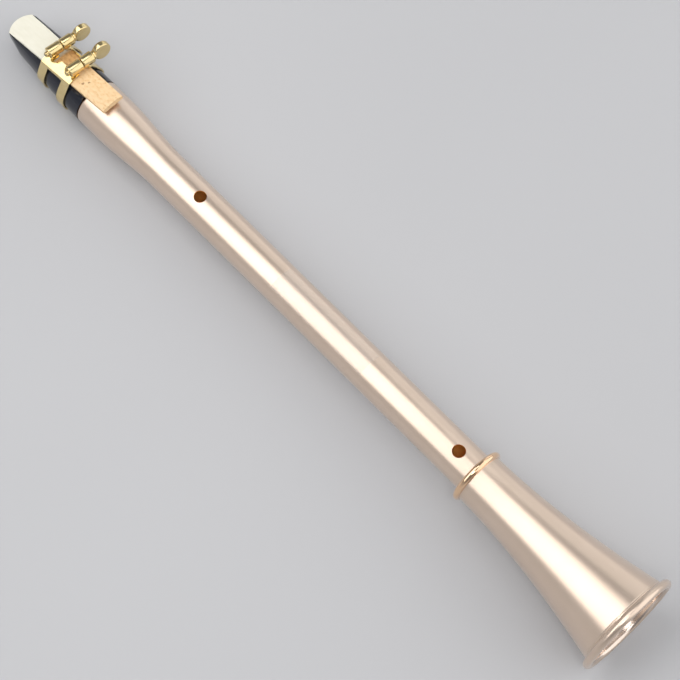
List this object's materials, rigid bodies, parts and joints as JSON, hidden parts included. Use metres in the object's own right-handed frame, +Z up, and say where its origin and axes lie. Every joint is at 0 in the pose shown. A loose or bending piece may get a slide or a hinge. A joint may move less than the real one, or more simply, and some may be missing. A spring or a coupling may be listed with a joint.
{
  "type": "pocket saxophone",
  "caption": "Keyless pocket saxophone: straight metal tube with tone holes, flared bell with a rolled rim, black mouthpiece, cane reed and screw-clamped ligature.",
  "frame": {"origin": "middle of the floor under the object's box, with the instrument lying on its bell rim and rear ligature band", "axes": "+X towards the bell, +Z up on the thumb hole's side, +Y towards the thumbscrew heads"},
  "size_m": [0.4308, 0.0558, 0.0558],
  "materials": {
    "champagne_lacquer": "satin champagne lacquer",
    "polished_gold": "polished gold lacquer",
    "raw_brass": "bare, dull",
    "gloss_black": "glossy moulded black",
    "cane": "natural cane",
    "cork": "natural cork"
  },
  "bodies": {
    "instrument": {"body_tube": "champagne_lacquer", "joint_ring": "polished_gold", "bell_sleeve": "raw_brass", "bell": "champagne_lacquer", "rim_wire": "raw_brass"},
    "cork_sleeve": {"tenon_cork": "cork"},
    "mouthpiece": {"mouthpiece": "gloss_black"},
    "reed": {"reed": "cane"},
    "ligature": {"ligature_band": "polished_gold", "post_front_left": "polished_gold", "post_front_right": "polished_gold", "post_rear_left": "polished_gold", "post_rear_right": "polished_gold"},
    "front_thumbscrew": {"thumbscrew_front": "polished_gold"},
    "rear_thumbscrew": {"thumbscrew_rear": "polished_gold"}
  },
  "joints": [
    {"name": "tuning_slide", "type": "slide", "parent": "instrument", "child": "cork_sleeve", "axis": [-0.9993, 0, -0.0378], "range_m": [0, 0.012]},
    {"name": "mouthpiece_turn", "type": "hinge", "parent": "cork_sleeve", "child": "mouthpiece", "pos_m": [-0.15511, 0, 0.01404], "axis": [0.9993, 0, 0.0378], "continuous": true},
    {"name": "ligature_slide", "type": "slide", "parent": "mouthpiece", "child": "ligature", "axis": [-0.9993, 0, -0.0378], "range_m": [0, 0.055]},
    {"name": "reed_slide", "type": "slide", "parent": "mouthpiece", "child": "reed", "axis": [-0.9872, -0.0165, -0.1588], "range_m": [-0.003, 0.003]},
    {"name": "front_screw_turn", "type": "hinge", "parent": "ligature", "child": "front_thumbscrew", "pos_m": [-0.18378, 0.0006, 0.03009], "axis": [0.0971, 0.9948, -0.0311], "range_deg": [0, 720]},
    {"name": "rear_screw_turn", "type": "hinge", "parent": "ligature", "child": "rear_thumbscrew", "pos_m": [-0.16817, 0.00067, 0.03261], "axis": [0.071, 0.997, -0.0322], "range_deg": [0, 720]}
  ]
}
